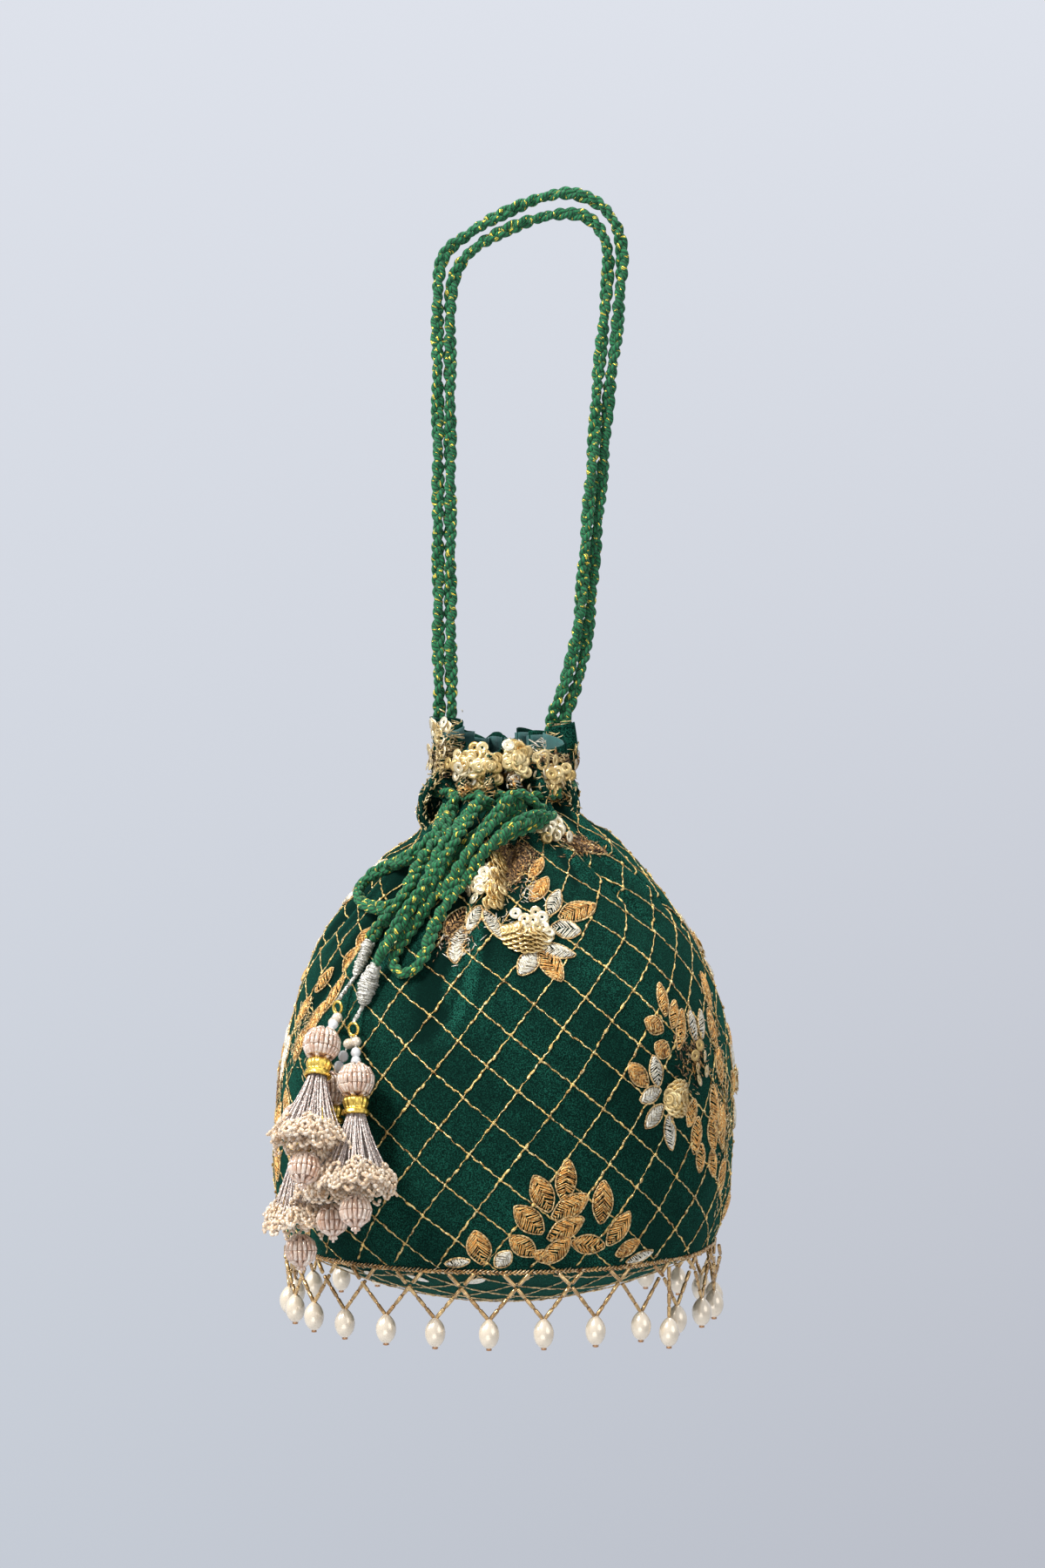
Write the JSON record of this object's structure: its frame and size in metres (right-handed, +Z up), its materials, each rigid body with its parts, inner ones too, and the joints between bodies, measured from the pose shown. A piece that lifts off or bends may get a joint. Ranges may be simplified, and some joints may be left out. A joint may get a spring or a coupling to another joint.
{
  "type": "potli bag",
  "caption": "Round gathered pouch of embroidered cloth with a pleated ruffle, a doubled cord handle, a tied drawstring with tassels and a pearl fringe round its base.",
  "frame": {"origin": "underside of the handle's crest, where a hook or a hand carries the bag", "axes": "+Z up along the hanging bag, +X to the right as the picture shows it, +Y away from its viewer"},
  "size_m": [0.1836, 0.1997, 0.4548],
  "materials": {
    "green_velvet": "matt cotton velvet",
    "teal_lining": "plain satin",
    "copper_lace": "metallic lace with bronze bugle beads",
    "nacre": "pearl",
    "green_cord": "braided cord with gold thread",
    "silver_thread": "metallic thread binding",
    "yellow_gold": "polished",
    "rose_beads": "rose glass beads with silver cores",
    "mauve_thread": "thread tassel with beaded ends"
  },
  "bodies": {
    "bag": {"side_panel": "green_velvet", "lining": "teal_lining", "base_panel": "green_velvet", "rim_trim": "copper_lace", "handle_strand_outer": "green_cord", "handle_strand_inner": "green_cord", "drawstring_neck_turn": "green_cord", "drawstring_tail_short": "green_cord", "drawstring_tail_long": "green_cord", "drawstring_loop_small": "green_cord", "drawstring_loop_long": "green_cord", "tail_wrap_short": "silver_thread", "tail_wrap_long": "silver_thread"},
    "fringe_drop_01": {"fringe_drop_01": "nacre"},
    "fringe_drop_02": {"fringe_drop_02": "nacre"},
    "fringe_drop_03": {"fringe_drop_03": "nacre"},
    "fringe_drop_04": {"fringe_drop_04": "nacre"},
    "fringe_drop_05": {"fringe_drop_05": "nacre"},
    "fringe_drop_06": {"fringe_drop_06": "nacre"},
    "fringe_drop_07": {"fringe_drop_07": "nacre"},
    "fringe_drop_08": {"fringe_drop_08": "nacre"},
    "fringe_drop_09": {"fringe_drop_09": "nacre"},
    "fringe_drop_10": {"fringe_drop_10": "nacre"},
    "fringe_drop_11": {"fringe_drop_11": "nacre"},
    "fringe_drop_12": {"fringe_drop_12": "nacre"},
    "fringe_drop_13": {"fringe_drop_13": "nacre"},
    "fringe_drop_14": {"fringe_drop_14": "nacre"},
    "fringe_drop_15": {"fringe_drop_15": "nacre"},
    "fringe_drop_16": {"fringe_drop_16": "nacre"},
    "fringe_drop_17": {"fringe_drop_17": "nacre"},
    "fringe_drop_18": {"fringe_drop_18": "nacre"},
    "fringe_drop_19": {"fringe_drop_19": "nacre"},
    "fringe_drop_20": {"fringe_drop_20": "nacre"},
    "fringe_drop_21": {"fringe_drop_21": "nacre"},
    "fringe_drop_22": {"fringe_drop_22": "nacre"},
    "fringe_drop_23": {"fringe_drop_23": "nacre"},
    "fringe_drop_24": {"fringe_drop_24": "nacre"},
    "fringe_drop_25": {"fringe_drop_25": "nacre"},
    "fringe_drop_26": {"fringe_drop_26": "nacre"},
    "fringe_drop_lone": {"fringe_drop_lone": "nacre"},
    "tassels_short_tail": {"tassel_front_left_top_beads": "nacre", "tassel_front_left_ball": "rose_beads", "tassel_front_left_cap": "yellow_gold", "tassel_front_left_skirt": "mauve_thread", "tassel_front_left_end_ball": "rose_beads", "tassel_back_left_top_beads": "nacre", "tassel_back_left_ball": "rose_beads", "tassel_back_left_cap": "yellow_gold", "tassel_back_left_skirt": "mauve_thread", "tassel_back_left_end_ball": "rose_beads"},
    "tassels_long_tail": {"tassel_front_right_top_beads": "nacre", "tassel_front_right_ball": "rose_beads", "tassel_front_right_cap": "yellow_gold", "tassel_front_right_skirt": "mauve_thread", "tassel_front_right_end_ball": "rose_beads", "tassel_back_right_top_beads": "nacre", "tassel_back_right_ball": "rose_beads", "tassel_back_right_cap": "yellow_gold", "tassel_back_right_skirt": "mauve_thread", "tassel_back_right_end_ball": "rose_beads"}
  },
  "joints": [
    {"name": "drop_01_swing", "type": "hinge", "parent": "bag", "child": "fringe_drop_01", "pos_m": [-0.03007, -0.08531, -0.4155], "axis": [0.9977, 0.0675, 0], "range_deg": [-40, 40]},
    {"name": "drop_02_swing", "type": "hinge", "parent": "bag", "child": "fringe_drop_02", "pos_m": [-0.00953, -0.0839, -0.4155], "axis": [0.9526, 0.3043, 0], "range_deg": [-40, 40]},
    {"name": "drop_03_swing", "type": "hinge", "parent": "bag", "child": "fringe_drop_03", "pos_m": [0.01009, -0.07761, -0.4155], "axis": [0.8521, 0.5235, 0], "range_deg": [-40, 40]},
    {"name": "drop_04_swing", "type": "hinge", "parent": "bag", "child": "fringe_drop_04", "pos_m": [0.02762, -0.06682, -0.4155], "axis": [0.702, 0.7122, 0], "range_deg": [-40, 40]},
    {"name": "drop_05_swing", "type": "hinge", "parent": "bag", "child": "fringe_drop_05", "pos_m": [0.04206, -0.05214, -0.4155], "axis": [0.5112, 0.8595, 0], "range_deg": [-40, 40]},
    {"name": "drop_06_swing", "type": "hinge", "parent": "bag", "child": "fringe_drop_06", "pos_m": [0.05258, -0.03443, -0.4155], "axis": [0.2907, 0.9568, 0], "range_deg": [-40, 40]},
    {"name": "drop_07_swing", "type": "hinge", "parent": "bag", "child": "fringe_drop_07", "pos_m": [0.05854, -0.01472, -0.4155], "axis": [0.0532, 0.9986, 0], "range_deg": [-40, 40]},
    {"name": "drop_08_swing", "type": "hinge", "parent": "bag", "child": "fringe_drop_08", "pos_m": [0.05962, 0.00584, -0.4155], "axis": [-0.1873, 0.9823, 0], "range_deg": [-40, 40]},
    {"name": "drop_09_swing", "type": "hinge", "parent": "bag", "child": "fringe_drop_09", "pos_m": [0.05575, 0.02607, -0.4155], "axis": [-0.4169, 0.9089, 0], "range_deg": [-40, 40]},
    {"name": "drop_10_swing", "type": "hinge", "parent": "bag", "child": "fringe_drop_10", "pos_m": [0.04714, 0.04478, -0.4155], "axis": [-0.6223, 0.7827, 0], "range_deg": [-40, 40]},
    {"name": "drop_11_swing", "type": "hinge", "parent": "bag", "child": "fringe_drop_11", "pos_m": [0.03431, 0.06089, -0.4155], "axis": [-0.7916, 0.6111, 0], "range_deg": [-40, 40]},
    {"name": "drop_12_swing", "type": "hinge", "parent": "bag", "child": "fringe_drop_12", "pos_m": [0.018, 0.07346, -0.4155], "axis": [-0.9148, 0.4039, 0], "range_deg": [-40, 40]},
    {"name": "drop_13_swing", "type": "hinge", "parent": "bag", "child": "fringe_drop_13", "pos_m": [-0.00084, 0.08176, -0.4155], "axis": [-0.9849, 0.1732, 0], "range_deg": [-40, 40]},
    {"name": "drop_14_swing", "type": "hinge", "parent": "bag", "child": "fringe_drop_14", "pos_m": [-0.02113, 0.08531, -0.4155], "axis": [-0.9977, -0.0675, 0], "range_deg": [-40, 40]},
    {"name": "drop_15_swing", "type": "hinge", "parent": "bag", "child": "fringe_drop_15", "pos_m": [-0.04167, 0.0839, -0.4155], "axis": [-0.9526, -0.3043, 0], "range_deg": [-40, 40]},
    {"name": "drop_16_swing", "type": "hinge", "parent": "bag", "child": "fringe_drop_16", "pos_m": [-0.06128, 0.07761, -0.4155], "axis": [-0.8521, -0.5235, 0], "range_deg": [-40, 40]},
    {"name": "drop_17_swing", "type": "hinge", "parent": "bag", "child": "fringe_drop_17", "pos_m": [-0.07882, 0.06682, -0.4155], "axis": [-0.702, -0.7122, 0], "range_deg": [-40, 40]},
    {"name": "drop_18_swing", "type": "hinge", "parent": "bag", "child": "fringe_drop_18", "pos_m": [-0.09327, 0.05214, -0.4155], "axis": [-0.5112, -0.8595, 0], "range_deg": [-40, 40]},
    {"name": "drop_19_swing", "type": "hinge", "parent": "bag", "child": "fringe_drop_19", "pos_m": [-0.10378, 0.03443, -0.4155], "axis": [-0.2907, -0.9568, 0], "range_deg": [-40, 40]},
    {"name": "drop_20_swing", "type": "hinge", "parent": "bag", "child": "fringe_drop_20", "pos_m": [-0.10974, 0.01472, -0.4155], "axis": [-0.0532, -0.9986, 0], "range_deg": [-40, 40]},
    {"name": "drop_21_swing", "type": "hinge", "parent": "bag", "child": "fringe_drop_21", "pos_m": [-0.11082, -0.00584, -0.4155], "axis": [0.1873, -0.9823, 0], "range_deg": [-40, 40]},
    {"name": "drop_22_swing", "type": "hinge", "parent": "bag", "child": "fringe_drop_22", "pos_m": [-0.10695, -0.02607, -0.4155], "axis": [0.4169, -0.9089, 0], "range_deg": [-40, 40]},
    {"name": "drop_23_swing", "type": "hinge", "parent": "bag", "child": "fringe_drop_23", "pos_m": [-0.09835, -0.04478, -0.4155], "axis": [0.6223, -0.7827, 0], "range_deg": [-40, 40]},
    {"name": "drop_24_swing", "type": "hinge", "parent": "bag", "child": "fringe_drop_24", "pos_m": [-0.08551, -0.06089, -0.4155], "axis": [0.7916, -0.6111, 0], "range_deg": [-40, 40]},
    {"name": "drop_25_swing", "type": "hinge", "parent": "bag", "child": "fringe_drop_25", "pos_m": [-0.0692, -0.07346, -0.4155], "axis": [0.9148, -0.4039, 0], "range_deg": [-40, 40]},
    {"name": "drop_26_swing", "type": "hinge", "parent": "bag", "child": "fringe_drop_26", "pos_m": [-0.05036, -0.08176, -0.4155], "axis": [0.9849, -0.1732, 0], "range_deg": [-40, 40]},
    {"name": "lone_drop_swing", "type": "hinge", "parent": "bag", "child": "fringe_drop_lone", "pos_m": [0.03852, -0.06309, -0.4109], "axis": [0.7014, 0.7128, 0], "range_deg": [-40, 0]},
    {"name": "tassels_short_tail_swing", "type": "hinge", "parent": "bag", "child": "tassels_short_tail", "pos_m": [-0.08822, -0.06255, -0.312], "axis": [-0.6, 0.8, 0], "range_deg": [0, 35]},
    {"name": "tassels_long_tail_swing", "type": "hinge", "parent": "bag", "child": "tassels_long_tail", "pos_m": [-0.08166, -0.07162, -0.3195], "axis": [-0.7071, -0.7071, 0], "range_deg": [0, 35]}
  ]
}
